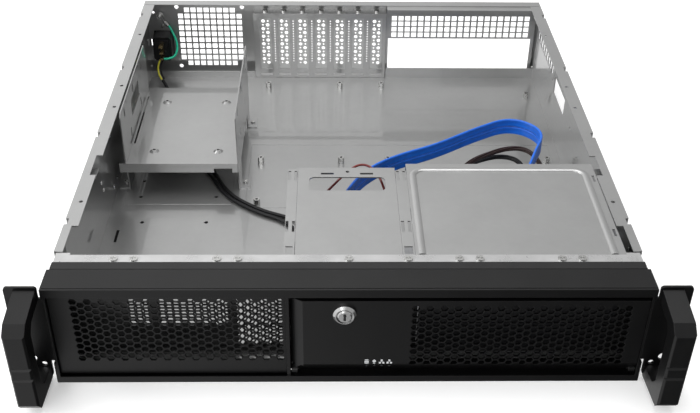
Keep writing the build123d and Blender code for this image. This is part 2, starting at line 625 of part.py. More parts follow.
def door():
    """The drop-down door: bevelled along its left and lower edges, honeycomb over the drive bay."""
    t = DOOR_SHEET
    slope_end = 5.6
    pitch = 5.82
    x_face = DOOR_FACE_LEFT
    shell = profile([(0, DOOR_FACE_BOTTOM), (0, DOOR_TOP), (8, DOOR_TOP), (8, DOOR_TOP - t), (t,
            DOOR_TOP - t),
                     (t, DOOR_FACE_BOTTOM + 0.6), (slope_end + t, DOOR_BOTTOM + 0.9), (slope_end,
                             DOOR_BOTTOM)],
                    DOOR_LEFT, DOOR_RIGHT)
    left_bevel = [(DOOR_LEFT - 1, -1), (x_face, -1), (x_face, 0), (DOOR_LEFT, 5.0), (DOOR_LEFT - 1, 5.0)]
    wedge = Face(Wire.make_polygon([(x, y, 0) for x, y in left_bevel], close=True))
    wedge = extrude(wedge, amount=100, dir=(0, 0, 1)).solid()
    strip = [(x_face, 0), (x_face, t), (DOOR_LEFT + 1.2, 5.0 + t), (DOOR_LEFT, 5.0 + t), (DOOR_LEFT, 5.0)]
    bevel = Face(Wire.make_polygon([(x, y, 16.0) for x, y in strip], close=True))
    bevel = extrude(bevel, amount=DOOR_TOP - 16.0, dir=(0, 0, 1)).solid()
    side = slab(DOOR_RIGHT - t, DOOR_RIGHT, 0.4, 7.5, DOOR_FACE_BOTTOM, DOOR_TOP)
    lugs = []
    for x0 in (DOOR_LEFT, DOOR_RIGHT - 4.5):
        lugs.append(rod(x0, HINGE_Y, HINGE_Z, 2.7, 4.5, "X"))
        lugs.append(slab(x0, x0 + 4.5, HINGE_Y + 0.6, HINGE_Y + 5.0, HINGE_Z - 0.6, 19.0))
    body = joined([shell.cut(wedge), bevel, side] + lugs)
    tools = []
    for x0 in (DOOR_LEFT - 1, DOOR_RIGHT - 5.5):
        tools.append(rod(x0, HINGE_Y, HINGE_Z, PIN_RADIUS + 0.1, 6.5, "X"))
    tools.append(rod(LOCK_X, -2, LOCK_Z, 6.6, 12))
    for k in range(4):
        tools.append(rod(12.5 + k * 5.55, -1, 14.5, 1.0, 12))
    body = cut(body, tools)
    field = [Face(w) for w in hex_field(46.3, 70.9, 31, pitch, -1.0)]
    cutters = extrude(Sketch(children=field), amount=6, dir=(0, 1, 0))
    return body.cut(*cutters.solids()).solid()


def hinge_pins():
    """Two steel pins that the door turns on. They are pressed into the frame."""
    left = rod(DIVIDER_LEFT + 0.1, HINGE_Y, HINGE_Z, PIN_RADIUS, 6.4, "X")
    right = rod(DOOR_RIGHT - 4.0, HINGE_Y, HINGE_Z, PIN_RADIUS, 6.6, "X")
    return [left, right]


def lock_body():
    """The plated lock case: a domed ring outside the door and a threaded barrel behind it."""
    flange = rod(LOCK_X, -3.6, LOCK_Z, 8.3, 3.55)
    flange = chamfer(flange.edges().filter_by(GeomType.CIRCLE).sort_by(Axis.Y)[0], 1.6)
    barrel = rod(LOCK_X, -0.1, LOCK_Z, 6.3, 12.1)
    bore = rod(LOCK_X, -5, LOCK_Z, 5.4, 20)
    recess = rod(LOCK_X, -5, LOCK_Z, 6.2, 3.2)
    return joined([flange.solid(), barrel]).cut(bore, recess)


def lock_nut():
    """The hexagonal nut that clamps the lock behind the door."""
    body = extrude(Plane((LOCK_X, 2.1, LOCK_Z), z_dir=(0, 1, 0)) * RegularPolygon(9.2, 6), 3).solid()
    return body.cut(rod(LOCK_X, 0, LOCK_Z, 6.35, 8))


def lock_cylinder():
    """The key cylinder, with its keyway, that turns in the lock case."""
    body = rod(LOCK_X, -4.3, LOCK_Z, 5.3, 16.8)
    body = chamfer(body.edges().filter_by(GeomType.CIRCLE).sort_by(Axis.Y)[0], 0.9).solid()
    keyway = slab(LOCK_X - 0.9, LOCK_X + 0.9, -5, 1, LOCK_Z - 3.0, LOCK_Z + 3.2)
    eye = rod(LOCK_X, -5, LOCK_Z + 1.6, 1.2, 6)
    return body.cut(keyway, eye)


def lock_cam():
    """The flat cam on the back of the cylinder. At rest it lies clear of the frame, to the left."""
    arm = slab(LOCK_X - CAM_REACH, LOCK_X + 6, 12.6, 14.4, LOCK_Z - 5, LOCK_Z + 5)
    arm = fillet(arm.edges().filter_by(Axis.Y), 4.5)
    return arm.solid()


def light_pipes():
    """Four clear rods that bring the indicator light to the door's lower edge."""
    return [rod(12.5 + k * 5.55, 2.2, 14.5, 0.9, 5.4) for k in range(4)]


def indicator_board():
    """The small circuit board behind the light pipes."""
    return slab(7, 35, 7.8, 9.2, 10.6, 22.4)


# ---------------------------------------------------------------- control panel

def control_panel():
    """The panel behind the door's plain part: openings for two buttons and two ports."""
    y = 19.0
    holes = [
        ring(-24, y, 58, 5.4),
        ring(-24, y, 38, 3.4),
        upright(rectangle(-7.2, -1.0, 30.6, 45.2), y),
        upright(rectangle(7.0, 13.2, 30.6, 45.2), y),
    ]
    wall = plate(rectangle(-41.5, 36, 7, 78), holes, y, 2.0)
    rim = [slab(-41.5, -40, y, 33.5, 7, 78), slab(34.5, 36, y, 33.5, 7, 78)]
    return joined([wall] + rim)


def button(x, z, radius):
    """A push button with a dished cap and a stem that meets its switch."""
    cap = rod(x, 16.6, z, radius, 4.6)
    cap = chamfer(cap.edges().filter_by(GeomType.CIRCLE).sort_by(Axis.Y)[0], 0.6).solid()
    rim = rod(x, 21.5, z, radius + 0.9, 1.2)
    stem = rod(x, 21.0, z, 1.8, 7.3)
    dish = Pos(x, 16.6 - 3 * radius, z) * Sphere(3 * radius + 0.35)
    return joined([cap, rim, stem]).cut(dish.solid())


def usb_ports():
    """Two stacked-upright ports with their tongues."""
    group = []
    for x in (-4.1, 10.1):
        shell = slab(x - 2.9, x + 2.9, 18.4, 32, 30.9, 44.9).cut(slab(x - 2.3, x + 2.3, 18, 30.5, 31.5, 44.3))
        tongue = slab(x - 1.9, x - 0.3, 20, 31, 32.6, 43.2)
        group.append(joined([shell, tongue]))
    return group


def control_board():
    """The circuit board that the ports and the two tactile switches are soldered to."""
    pieces = [slab(-39.5, 20, 32.2, 33.5, 26, 68)]
    pieces += [slab(-27, -21, 29.6, 32.3, z - 3, z + 3) for z in (58, 38)]
    return joined(pieces)


# ---------------------------------------------------------------- ears and handles

def ear(s):
    """A rack ear: a slotted front plate folded back through the notch along the body's side."""
    y0, y1 = EAR_FRONT, EAR_FRONT + EAR_SHEET
    outer = RACK_WIDTH / 2
    face = plate(rectangle(EAR_INNER, outer, EAR_BOTTOM, PANEL_HEIGHT), [], y0, EAR_SHEET)
    face = fillet(face.edges().filter_by(Axis.Y), 2.4).solid()
    z0, z1 = EAR_NOTCH_LOW + 0.5, EAR_NOTCH_HIGH - 0.6
    tongue = slab(213.9, EAR_INNER + 1, y0, y1, z0, z1)
    tongue = fillet(tongue.edges().filter_by(Axis.Z).group_by(Axis.X)[0].group_by(Axis.Y)[0], 1.5).solid()
    leg = slab(213.9, HALF, y0 + 1.5, 46.0, z0, z1)
    body = joined([face, tongue, leg])
    slot_x = RACK_SLOT_SPACING / 2
    middle = PANEL_HEIGHT / 2
    tools = []
    for z in (middle - RACK_SLOT_RISE / 2, middle + RACK_SLOT_RISE / 2):
        slot = Plane((slot_x, y0 - 1, z), x_dir=(1, 0, 0), z_dir=(0, 1, 0)) * SlotOverall(RACK_SLOT_LENGTH,
                RACK_SLOT_HEIGHT)
        tools.append(extrude(slot, 5).solid())
    for z in (16.4, 70.9):
        tools.append(rod(223.3, y0 - 1, z, 2.1, 5))
    for z in (8.4, 80.6):
        tools.append(rod(226.7, y0 - 1, z, 2.05, 5))
    for y in (14, EAR_SCREW_Y):
        for z in EAR_SCREW_ZS:
            tools.append(rod(213, y, z, 1.7, 4, "X"))
    body = cut(body, tools)
    return body if s > 0 else body.mirror(Plane.YZ)


def handle(s):
    """A cast grip: a sloping upper arm, a flat front bar with two grooves and a lower arm."""
    top, bottom, back = 86.0, 3.4, EAR_FRONT - 0.05
    outline = [(back, top), (-27.5, 81.6), (-HANDLE_REACH, 75.0), (-HANDLE_REACH, 12.0), (-31.0, 5.8),
            (back, bottom)]
    inner = [(back + 1, 75.4), (-16.0, 73.2), (-22.0, 67.0), (-22.0, 22.0), (-17.0, 16.0), (back + 1, 13.6)]
    body = profile(outline, HANDLE_INNER, HANDLE_OUTER)
    body = body.cut(profile(inner, HANDLE_INNER - 2, HANDLE_OUTER + 2))
    tools = []
    for z in (46.3, 36.4):
        tools.append(profile([(-HANDLE_REACH - 1, z - 2.6), (-HANDLE_REACH + 1.5, z), (-HANDLE_REACH - 1,
                z + 2.6)],
                             HANDLE_INNER - 1, HANDLE_OUTER + 1))
    corner = Plane.XY
    for x, inward in ((HANDLE_INNER, 1), (HANDLE_OUTER, -1)):
        c = 1.4
        wedge = [(x - inward, -HANDLE_REACH - 1), (x + inward * c, -HANDLE_REACH - 1)]
        wedge += [(x + inward * c, -HANDLE_REACH), (x, -HANDLE_REACH + c), (x - inward, -HANDLE_REACH + c)]
        face = Face(Wire.make_polygon([(px, py, -5) for px, py in wedge], close=True))
        tools.append(extrude(face, amount=100, dir=(0, 0, 1)).solid())
    for z in (8.4, 80.6):
        tools.append(rod(226.7, -8, z, 1.6, 14))
    body = cut(body, tools).solid()
    return body if s > 0 else body.mirror(Plane.YZ)


def handle_screws():
    """Four screws from behind the ears into the handle arms."""
    group = []
    for s in (-1, 1):
        for z in (8.4, 80.6):
            group.append(screw(s * 226.7, EAR_FRONT + EAR_SHEET + 0.02, z, 3.4, 1.5, 8, 1).solid())
    return group


def ear_screws():
    """Four countersunk screws that hold the ears' legs to the front sheet."""
    group = []
    for s in (-1, 1):
        for z in EAR_SCREW_ZS:
            head = Solid.make_cone(1.65, 1.3, 1.2, Plane((s * (HALF - 0.1), EAR_SCREW_Y, z), z_dir=(-s, 0,
                    0)))
            stem = Solid.make_cylinder(1.3, 5.0, Plane((s * (HALF - 1.0), EAR_SCREW_Y, z), z_dir=(-s, 0, 0)))
            group.append(joined([head, stem]))
    return group


# ---------------------------------------------------------------- small hardware

def standoffs():
    """Hexagonal steel posts on the standard main-board grid."""
    spots = [(BOARD_X + dx, BOARD_Y - dy) for dx in (0, BOARD_STEP) for dy in (0, BOARD_ROW)]
    spots += [(BOARD_X + dx, BOARD_Y - BOARD_ROW - 72.4) for dx in (0, BOARD_STEP)]
    spots += [(BOARD_X + 124.5, BOARD_Y), (BOARD_X + 124.5, BOARD_Y - BOARD_ROW)]
    spots += [(BOARD_X + 281.94, BOARD_Y - 22.86), (BOARD_X + 281.94, BOARD_Y - BOARD_ROW)]
    group = []
    for x, y in spots:
        post = extrude(Plane((x, y, SHEET)) * RegularPolygon(3.0, 6), 6.2).solid()
        group.append(post.cut(rod(x, y, 3.5, 1.3, 6, "Z")))
    return group


def rivets():
    """Domed rivets that hold the cages and the rear panel to the side walls."""
    group = []
    for y, z in ((253, 60), (262, 70), (258, 12), (242, 12), (200, 44), (204, 34), (70, 14), (70, 70),
            (486, 12), (486, 76)):
        for s in (-1, 1):
            x = s * (HALF - SHEET - 0.02)
            if s > 0 and 190 < y < 300:
                continue
            dome = Solid.make_cone(1.9, 1.1, 0.9, Plane((x, y, z), z_dir=(-s, 0, 0)))
            group.append(dome)
    return group


def floor_screws():
    """Screws that hold the cage feet and bay brackets to the floor."""
    return [screw(x, y, 2.02, 2.3, 1.2, 1.6, 1, "Z", 1.4).solid() for x, y in FLOOR_SCREW_SPOTS]


# ---------------------------------------------------------------- leads and plugs

WIRE_SIZE = 2.4
EARTH_POINTS = [(-191.8, 491.1, 58.8), (-186.6, 487.5, 50.5), (-182.2, 480.5, 41.0), (-183.4, 472.5, 32.5),
                (-190.0, 467.8, 29.8), (-196.7, 467.4, 30.0)]
HOT_WIRE_SIZE = 1.9
SUPPLY_POINTS = [(-201.2, 468.0, 28.6), (-203.9, 465.4, 21.5), (-202.9, 460.6, 14.6), (-199.4, 456.8, 10.0)]
NEUTRAL_POINTS = [(-198.7, 468.6, 27.4), (-201.2, 466.9, 20.9), (-200.2, 462.4, 14.5), (-197.3, 458.6, 9.9)]
MAINS_SIZE = 3.4
REST_Z = SHEET + MAINS_SIZE / 2 + 0.3
MAINS_OUT = [(-184, 415), (-171, 370), (-151, 325), (-127, 285), (-110, 243.5), (-78.5, 217), (-53.8, 206.3),
             (-22, 190), (6, 167), (24, 144)]
MAINS_LOOP = [(33.2, 118.1), (33.2, 89.9), (13.3, 70), (-14.9, 70), (-34.8, 89.9), (-34.8, 118.1)]
MAINS_BACK = [(-35.5, 152), (-39, 178), (-56.3, 201.6), (-80.5, 212.8), (-113.6, 240.6), (-131.5, 283),
              (-155, 312), (-176, 328), (-183, 352)]
MAINS_POINTS = [(-198.3, 456.6, 9.0), (-190.5, 444.5, 4.4)]
MAINS_POINTS += [(x, y, REST_Z) for x, y in MAINS_OUT + MAINS_LOOP + MAINS_BACK]
SATA_WIDTH = 7.6
SATA_THICK = 2.4
SATA_LOW = 56.2
SATA_HIGH = 64.2
SATA_PLAN = [(-12, 122), (0, 158), (19, 190), (46, 211), (80, 227.5), (118, 256), (155.1, 277.6), (182.8,
        252.2),
             (165, 213), (150, 170)]
POWER_SIZE = 4.6
POWER_A_POINTS = [(92, 150, 38), (88, 188, 41), (104, 226, 46), (140, 250, 48), (168, 256, 47), (179, 226,
        44),
                  (172, 190, 40), (164, 160.4, 38)]
POWER_B_POINTS = [(84, 150, 34), (80, 190, 35), (98, 230, 38), (134, 252, 40), (161, 248, 40), (162, 214, 38),
                  (152, 186, 36), (148, 160.2, 34)]
SIGNAL_SIZE = 2.0
SIGNAL_POINTS = [(-22, 142, 68), (-8, 160, 73), (2, 171, 77), (11, 177.5, 78.5), (20, 175.5, 77.5), (28,
        163, 74),
                 (31, 148, 70)]


def lead(name, points, size):
    """A round lead through the points, every corner an arc that leaves a tenth of its run straight."""
    radii = bend_radii(points)
    path = FilletPolyline(*points, radius=radii)
    start = Plane(origin=path @ 0, z_dir=path % 0)
    print(f"{name}: {path.length:.0f} mm, radii " + ", ".join(f"{r:.1f}" for r in radii))
    return sweep(start * Circle(size / 2), path=path).solid()


def flat_lead(name, level):
    """A flat data lead that stands on its edge and turns in plan."""
    points = [(x, y, level) for x, y in SATA_PLAN]
    radii = bend_radii(points)
    path = FilletPolyline(*points, radius=radii)
    start = Plane(origin=path @ 0, x_dir=(0, 0, 1), z_dir=path % 0)
    print(f"{name}: {path.length:.0f} mm, radii " + ", ".join(f"{r:.1f}" for r in radii))
    section = start * RectangleRounded(SATA_WIDTH, SATA_THICK, SATA_THICK / 2 - 0.05)
    return sweep(section, path=path).solid()


def plug(x, y, z, dx, dy, dz):
    """A moulded plug with softened edges."""
    body = Pos(x, y, z) * Box(dx, dy, dz)
    return chamfer(body.edges(), min(dx, dy, dz) * 0.12).solid()


def mains_plug():
    """The mains lead's plug, turned to the lead's last run."""
    end, before = MAINS_BACK[-1], MAINS_BACK[-2]
    u = Vector(end[0] - before[0], end[1] - before[1]).normalized()
    place = Plane((end[0] + u.X * 14.2, end[1] + u.Y * 14.2, 9.0), x_dir=(u.X, u.Y, 0), z_dir=(0, 0, 1))
    return (place.location * chamfer(Box(28, 17, 14).edges(), 1.7)).solid()


def sata_plugs(level):
    """The plug at each end of a data lead, turned to the lead's last run."""
    plugs = []
    for end, before in ((SATA_PLAN[0], SATA_PLAN[1]), (SATA_PLAN[-1], SATA_PLAN[-2])):
        u = Vector(end[0] - before[0], end[1] - before[1]).normalized()
        place = Plane((end[0] + u.X * 9, end[1] + u.Y * 9, level), x_dir=(u.X, u.Y, 0), z_dir=(0, 0, 1))
        body = chamfer(Box(18, 5.4, 7.9).edges(), 0.6)
        plugs.append((place.location * body).solid())
    return plugs


def build_all():
    parts = {
        "chassis_base": chassis_base(),
        "rear_panel": rear_panel(),
        "slot_plate": slot_plate(),
        "slot_covers": slot_covers(),
        "slot_cover_screws": slot_cover_screws(),
        "io_panel": io_panel(),
        "inlet_body": inlet_body(),
        "inlet_pins": inlet_pins(),
        "inlet_screws": inlet_screws(),
        "ground_stud": ground_stud(),
        "ground_terminal": ground_terminal(),
        "cage_tray": cage_tray(),
        "cage_bracket_left": cage_bracket(CAGE_LEFT, -1),
        "cage_bracket_right": cage_bracket(CAGE_RIGHT, 1),
        "front_wall": front_wall(),
        "wall_frame": wall_frame(),
        "flange_screws": flange_screws(),
        "mid_cover": mid_cover(),
        "bay_bracket_left": bay_bracket(MID_LEFT - 8.0, MID_LEFT, MID_BACK - 2, 1),
        "bay_bracket_right": bay_bracket(MID_RIGHT, MID_RIGHT + 8.9, MID_BACK - 4, -1),
        "bay_cover": bay_cover(),
        "bay_side": bay_side(),
        "bezel_frame": bezel_frame(),
        "vent_panel": vent_panel(),
        "bay_blanks": bay_blanks(),
        "door": door(),
        "hinge_pins": hinge_pins(),
        "lock_body": lock_body(),
        "lock_nut": lock_nut(),
        "lock_cylinder": lock_cylinder(),
        "lock_cam": lock_cam(),
        "light_pipes": light_pipes(),
        "indicator_board": indicator_board(),
        "control_panel": control_panel(),
        "power_button": button(-24, 58, 5.0),
        "reset_button": button(-24, 38, 3.0),
        "usb_ports": usb_ports(),
        "control_board": control_board(),
        "ear_left": ear(-1),
        "ear_right": ear(1),
        "handle_left": handle(-1),
        "handle_right": handle(1),
        "handle_screws": handle_screws(),
        "ear_screws": ear_screws(),
        "standoffs": standoffs(),
        "rivets": rivets(),
        "floor_screws": floor_screws(),
        "earth_wire": lead("earth_wire", EARTH_POINTS, WIRE_SIZE),
        "supply_wire": lead("supply_wire", SUPPLY_POINTS, HOT_WIRE_SIZE),
        "neutral_wire": lead("neutral_wire", NEUTRAL_POINTS, HOT_WIRE_SIZE),
        "mains_lead": lead("mains_lead", MAINS_POINTS, MAINS_SIZE),
        "mains_plug": mains_plug(),
        "sata_lead_a": flat_lead("sata_lead_a", SATA_HIGH),
        "sata_lead_b": flat_lead("sata_lead_b", SATA_LOW),
        "sata_plugs_a": sata_plugs(SATA_HIGH),
        "sata_plugs_b": sata_plugs(SATA_LOW),
        "power_lead_a": lead("power_lead_a", POWER_A_POINTS, POWER_SIZE),
        "power_lead_b": lead("power_lead_b", POWER_B_POINTS, POWER_SIZE),
        "power_plugs": [plug(156, 150.5, 36, 24, 18.6, 10), plug(89, 140.4, 36, 24, 18.6, 10)],
        "signal_lead": lead("signal_lead", SIGNAL_POINTS, SIGNAL_SIZE),
    }
    return parts


def save(name, shape):
    """Writes a piece, or a group of separate pieces, in the enclosure's own frame."""
    shapes = shape if isinstance(shape, list) else [shape]
    moved = [s.moved(Location((0, -ORIGIN_Y, 0))) for s in shapes]
    solids = [solid for s in moved for solid in s.solids()]
    if not isinstance(shape, list) and len(solids) != 1:
        print(f"{name}: {len(solids)} solids in one piece")
    export_step(solids[0] if len(solids) == 1 else Compound(children=solids), f"parts/{name}.step")


os.makedirs("parts", exist_ok=True)
for part_name, part_shape in build_all().items():
    save(part_name, part_shape)
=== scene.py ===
"""The looks of the two-unit rack enclosure: camera, leads, finishes, printed marks, studio."""
import json
import math

import bmesh
import bpy
from mathutils import Matrix, Vector


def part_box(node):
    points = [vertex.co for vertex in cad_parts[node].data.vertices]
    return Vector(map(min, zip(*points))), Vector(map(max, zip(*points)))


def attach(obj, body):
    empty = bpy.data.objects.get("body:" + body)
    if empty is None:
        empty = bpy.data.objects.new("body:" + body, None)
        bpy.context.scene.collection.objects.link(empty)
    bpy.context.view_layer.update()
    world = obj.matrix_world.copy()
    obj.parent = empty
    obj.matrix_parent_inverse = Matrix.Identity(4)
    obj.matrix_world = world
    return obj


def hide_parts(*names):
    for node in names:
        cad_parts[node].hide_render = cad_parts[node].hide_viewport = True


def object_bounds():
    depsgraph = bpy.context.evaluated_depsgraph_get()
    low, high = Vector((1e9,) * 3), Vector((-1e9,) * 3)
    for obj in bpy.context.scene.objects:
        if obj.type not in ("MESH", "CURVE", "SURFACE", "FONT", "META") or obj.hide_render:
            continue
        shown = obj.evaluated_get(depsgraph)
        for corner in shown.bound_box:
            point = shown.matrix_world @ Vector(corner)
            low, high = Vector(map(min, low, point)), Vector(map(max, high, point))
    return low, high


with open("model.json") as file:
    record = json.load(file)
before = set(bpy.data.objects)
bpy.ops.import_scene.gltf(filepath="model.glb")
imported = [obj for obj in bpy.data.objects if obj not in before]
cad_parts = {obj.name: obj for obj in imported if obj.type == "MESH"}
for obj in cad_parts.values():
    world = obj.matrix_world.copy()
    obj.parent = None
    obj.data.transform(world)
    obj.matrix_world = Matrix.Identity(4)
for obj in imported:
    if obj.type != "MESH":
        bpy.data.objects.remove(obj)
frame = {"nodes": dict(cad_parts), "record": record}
NODES = frame["nodes"]
CAD_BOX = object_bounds()

# ---------------------------------------------------------------- camera

IMAGE_WIDTH = 700
FOCAL_PX = 1014.1
SENSOR = 36.0
CAMERA_PLACE = (-0.0154, -0.7747, 0.5386)
PITCH, YAW, ROLL = math.radians(34.95), math.radians(1.465), math.radians(-0.872)


def make_camera():
    """A level-headed view from in front and above, with no shift."""
    ahead = Vector((math.sin(YAW) * math.cos(PITCH), math.cos(YAW) * math.cos(PITCH), -math.sin(PITCH)))
    right = Vector((math.cos(YAW), -math.sin(YAW), 0))
    down = ahead.cross(right)
    turned_right = math.cos(ROLL) * right + math.sin(ROLL) * down
    turned_down = -math.sin(ROLL) * right + math.cos(ROLL) * down
    data = bpy.data.cameras.new("camera")
    data.sensor_width = SENSOR
    data.lens = FOCAL_PX * SENSOR / IMAGE_WIDTH
    data.clip_start, data.clip_end = 0.01, 60
    camera = bpy.data.objects.new("camera", data)
    bpy.context.scene.collection.objects.link(camera)
    axes = Matrix((turned_right, -turned_down, -ahead)).transposed().to_4x4()
    camera.matrix_world = Matrix.Translation(CAMERA_PLACE) @ axes
    bpy.context.scene.camera = camera


make_camera()

# ---------------------------------------------------------------- material tools


class Finish:
    """A principled material and the few node moves that the finishes share."""

    def __init__(self, name, color=None, rough=None, metal=0.0, specular=0.5):
        self.mat = bpy.data.materials.new(name)
        self.mat.use_nodes = True
        self.tree = self.mat.node_tree
        self.shader = self.tree.nodes["Principled BSDF"]
        self.where = self.tree.nodes.new("ShaderNodeTexCoord").outputs["Object"]
        self.set("Metallic", metal)
        self.set("Specular IOR Level", specular)
        if color is not None:
            self.set("Base Color", (*color, 1))
        if rough is not None:
            self.set("Roughness", rough)

    def set(self, socket, value):
        self.shader.inputs[socket].default_value = value
        return self

    def link(self, a, b):
        self.tree.links.new(a, b)

    def stretched(self, scale):
        node = self.tree.nodes.new("ShaderNodeMapping")
        node.inputs["Scale"].default_value = scale
        self.link(self.where, node.inputs["Vector"])
        return node.outputs["Vector"]

    def noise(self, scale, detail=3.0, rough=0.55, stretch=None):
        node = self.tree.nodes.new("ShaderNodeTexNoise")
        node.inputs["Scale"].default_value = scale
        node.inputs["Detail"].default_value = detail
        node.inputs["Roughness"].default_value = rough
        self.link(self.stretched(stretch) if stretch else self.where, node.inputs["Vector"])
        return node.outputs["Fac"]

    def crystals(self, scale):
        """A random grey for each crystal of a zinc coat."""
        node = self.tree.nodes.new("ShaderNodeTexVoronoi")
        node.inputs["Scale"].default_value = scale
        self.link(self.where, node.inputs["Vector"])
        grey = self.tree.nodes.new("ShaderNodeSeparateColor")
        self.link(node.outputs["Color"], grey.inputs["Color"])
        return grey.outputs["Red"]

    def mixed(self, a, b, share):
        """The sum of two patterns, share of the second."""
        node = self.tree.nodes.new("ShaderNodeMix")
        node.inputs["Factor"].default_value = share
        self.link(a, node.inputs["A"])
        self.link(b, node.inputs["B"])
        return node.outputs["Result"]

    def ramp(self, source, stops):
        node = self.tree.nodes.new("ShaderNodeValToRGB")
        marks = node.color_ramp.elements
        while len(marks) < len(stops):
            marks.new(0.5)
        for mark, (at, color) in zip(marks, stops):
            mark.position = at
            mark.color = (*color, 1) if isinstance(color, tuple) else (color, color, color, 1)
        self.link(source, node.inputs["Fac"])
        return node.outputs["Color"]

    def paint(self, source, stops):
        self.link(self.ramp(source, stops), self.shader.inputs["Base Color"])
        return self

    def gloss(self, source, low, high, start=0.3, end=0.7):
        self.link(self.ramp(source, [(start, low), (end, high)]), self.shader.inputs["Roughness"])
        return self

    def bump(self, source, height, strength=1.0):
        node = self.tree.nodes.new("ShaderNodeBump")
        node.inputs["Strength"].default_value = strength
        node.inputs["Distance"].default_value = height
        self.link(source, node.inputs["Height"])
        self.link(node.outputs["Normal"], self.shader.inputs["Normal"])
        return self

    def softened(self, radius):
        """Rounds the hard edges for the light only, so that they catch a line of it."""
        node = self.tree.nodes.new("ShaderNodeBevel")
        node.samples = 3
        node.inputs["Radius"].default_value = radius
        made = self.shader.inputs["Normal"].links
        if made:
            bump = made[0].from_node
            self.link(node.outputs["Normal"], bump.inputs["Normal"])
        else:
            self.link(node.outputs["Normal"], self.shader.inputs["Normal"])
        return self


def scaled(color, share):
    return tuple(c * share for c in color)


def tinted(grey):
    """A grey with the faint green of zinc."""
    return grey, grey * 1.004, grey * 0.998


def zinc(name, dark, light, rough, wave=0.0010):
    """Galvanised sheet: faint crystals, clouds of sheen, the mill's long grain, a slight waviness."""
    finish = Finish(name, metal=0.72, specular=0.5)
    finish.set("Coat Weight", 0.8).set("Coat Roughness", 0.04).set("Coat IOR", 1.8)
    crystals = finish.crystals(240)
    clouds = finish.noise(9, 4, 0.6)
    both = finish.mixed(clouds, crystals, 0.06)
    finish.paint(both, [(0.28, tinted(dark)), (0.72, tinted(light))])
    grain = finish.noise(1, 4, 0.6, stretch=(700, 50, 700))
    finish.gloss(finish.mixed(grain, clouds, 0.4), rough - 0.02, rough + 0.06)
    finish.bump(finish.noise(13, 2, 0.5), wave, 0.35)
    finish.softened(0.0003)
    return finish.mat


def coated(name, color, rough, grain=1500, height=0.00006, specular=0.35, edge=0.0003):
    """Textured powder coat with a little dust in it."""
    finish = Finish(name, specular=specular)
    dust = finish.noise(35, 5, 0.65)
    finish.paint(dust, [(0.3, scaled(color, 0.82)), (0.7, scaled(color, 1.25))])
    speckle = finish.noise(grain, 2, 0.5)
    finish.gloss(finish.mixed(speckle, dust, 0.5), rough - 0.05, rough + 0.06)
    finish.bump(speckle, height, 0.5)
    if edge:
        finish.softened(edge)
    return finish.mat


def moulded(name, color, rough, specular=0.4, grain=900, spread=0.15):
    """Moulded plastic with a fine grain and slightly uneven sheen."""
    finish = Finish(name, specular=specular)
    cloud = finish.noise(60, 4, 0.6)
    finish.paint(cloud, [(0.3, scaled(color, 1 - spread)), (0.7, scaled(color, 1 + spread))])
    fine = finish.noise(grain, 2)
    finish.gloss(finish.mixed(fine, cloud, 0.5), rough - 0.06, rough + 0.06)
    finish.bump(fine, 0.00005, 0.35)
    return finish.mat


def turned(name, color, rough, metal=1.0):
    """Plated or turned metal with fine rings of wear."""
    finish = Finish(name, metal=metal)
    wear = finish.noise(700, 4, 0.6)
    finish.paint(wear, [(0.3, scaled(color, 0.85)), (0.7, color)])
    finish.gloss(finish.noise(260, 3), rough - 0.04, rough + 0.08)
    finish.bump(wear, 0.00003, 0.3)
    return finish.mat


def solder_mask():
    finish = Finish("solder_mask", specular=0.5)
    tracks = finish.noise(420, 2, 0.4, stretch=(1, 0.4, 2.5))
    finish.paint(tracks, [(0.47, (0.006, 0.060, 0.022)), (0.5, (0.012, 0.105, 0.040))])
    finish.gloss(finish.noise(90), 0.25, 0.4)
    finish.bump(tracks, 0.00003, 0.4)
    return finish.mat


MATS = {
    "zinc_sheet": zinc("zinc_sheet", 0.325, 0.38, 0.30),
    "zinc_bright": zinc("zinc_bright", 0.42, 0.50, 0.30),
    "screw_steel": turned("screw_steel", (0.60, 0.60, 0.59), 0.24),
    "screw_black": coated("screw_black", (0.012, 0.012, 0.013), 0.35, edge=0),
    "powder_black": coated("powder_black", (0.0018, 0.0018, 0.0020), 0.36, specular=0.32, edge=0.0006),
    "powder_grey": coated("powder_grey", (0.0060, 0.0060, 0.0064), 0.42, specular=0.35, edge=0.0004),
    "handle_black": coated("handle_black", (0.0030, 0.0030, 0.0032), 0.38, specular=0.28, edge=0.0008),
    "black_plastic": moulded("black_plastic", (0.012, 0.012, 0.013), 0.42),
    "black_nylon": moulded("black_nylon", (0.010, 0.010, 0.011), 0.32),
    "lock_chrome": turned("lock_chrome", (0.62, 0.62, 0.62), 0.12),
    "clear_resin": moulded("clear_resin", (0.020, 0.021, 0.023), 0.22, specular=0.25),
    "circuit_green": solder_mask(),
    "contact_brass": turned("contact_brass", (0.74, 0.58, 0.30), 0.24),
    "wire_green": moulded("wire_green", (0.010, 0.50, 0.29), 0.33),
    "wire_yellow": moulded("wire_yellow", (0.62, 0.58, 0.045), 0.33),
    "cable_black": moulded("cable_black", (0.008, 0.008, 0.009), 0.42, specular=0.25),
    "cable_blue": moulded("cable_blue", (0.010, 0.125, 0.60), 0.34, specular=0.4),
    "cable_red": moulded("cable_red", (0.16, 0.022, 0.018), 0.35),
    "cable_brown": moulded("cable_brown", (0.022, 0.010, 0.008), 0.38, specular=0.3),
}


# Heights where the front sheet's painted shade gives way to its bare zinc flange.
FLANGE_START, FLANGE_FULL = 0.0835, 0.0845


